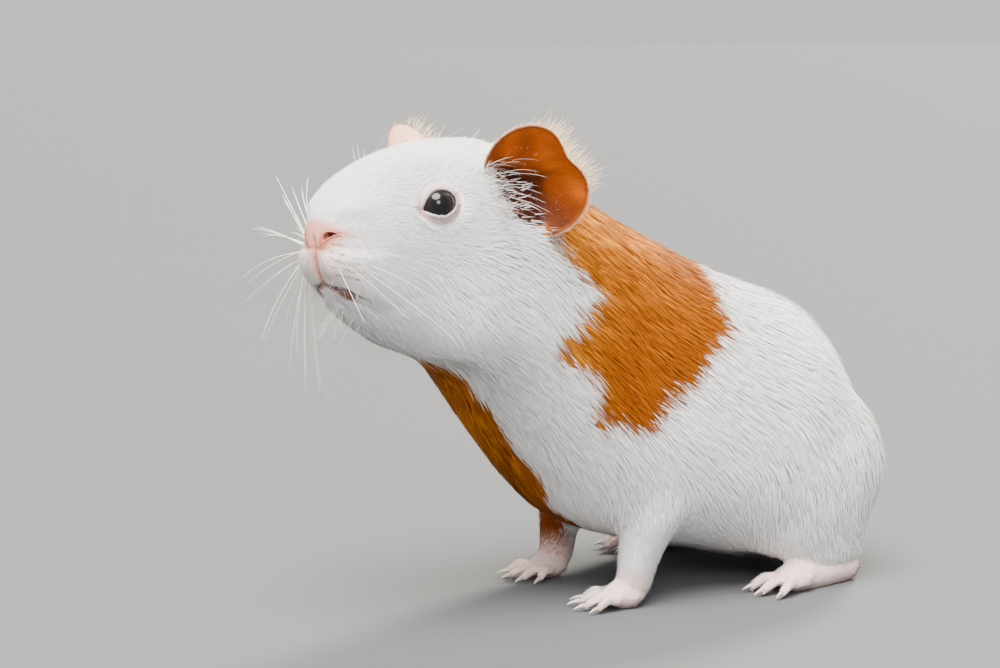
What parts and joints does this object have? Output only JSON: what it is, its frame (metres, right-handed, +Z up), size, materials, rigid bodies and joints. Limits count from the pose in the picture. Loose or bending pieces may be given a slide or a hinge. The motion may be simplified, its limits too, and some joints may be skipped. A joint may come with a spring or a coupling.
{
  "type": "guinea pig model",
  "caption": "Life-size still model of a white and ginger smooth-coated guinea pig, sitting up on straight forelegs with its head raised and turned slightly.",
  "frame": {"origin": "middle of the footprint's bounding box, on the floor", "axes": "the animal faces -Y, its left side is +X, and +Z is up"},
  "size_m": [0.091, 0.2026, 0.1424],
  "materials": {
    "white_coat": "soft white fur over pale skin",
    "ginger_coat": "soft ginger fur over pale skin",
    "ear_skin": "thin, nearly bare, orange-brown skin",
    "foot_skin": "bare pink skin with short white hair",
    "claw_horn": "pale horn",
    "eye": "wet, almost black"
  },
  "bodies": {
    "root": {"head": "white_coat", "neck": "ginger_coat", "trunk": "white_coat", "foreleg_left": "white_coat", "foreleg_right": "ginger_coat", "hindleg_left": "white_coat", "hindleg_right": "white_coat", "forefoot_left": "foot_skin", "forefoot_right": "foot_skin", "hindfoot_left": "foot_skin", "hindfoot_right": "foot_skin", "ear_left": "ear_skin", "ear_right": "ear_skin", "eye_left": "eye", "eye_right": "eye", "claw_fore_left_1": "claw_horn", "claw_fore_left_2": "claw_horn", "claw_fore_left_3": "claw_horn", "claw_fore_left_4": "claw_horn", "claw_hind_left_1": "claw_horn", "claw_hind_left_2": "claw_horn", "claw_hind_left_3": "claw_horn", "claw_fore_right_1": "claw_horn", "claw_fore_right_2": "claw_horn", "claw_fore_right_3": "claw_horn", "claw_fore_right_4": "claw_horn", "claw_hind_right_1": "claw_horn", "claw_hind_right_2": "claw_horn", "claw_hind_right_3": "claw_horn"}
  },
  "joints": []
}
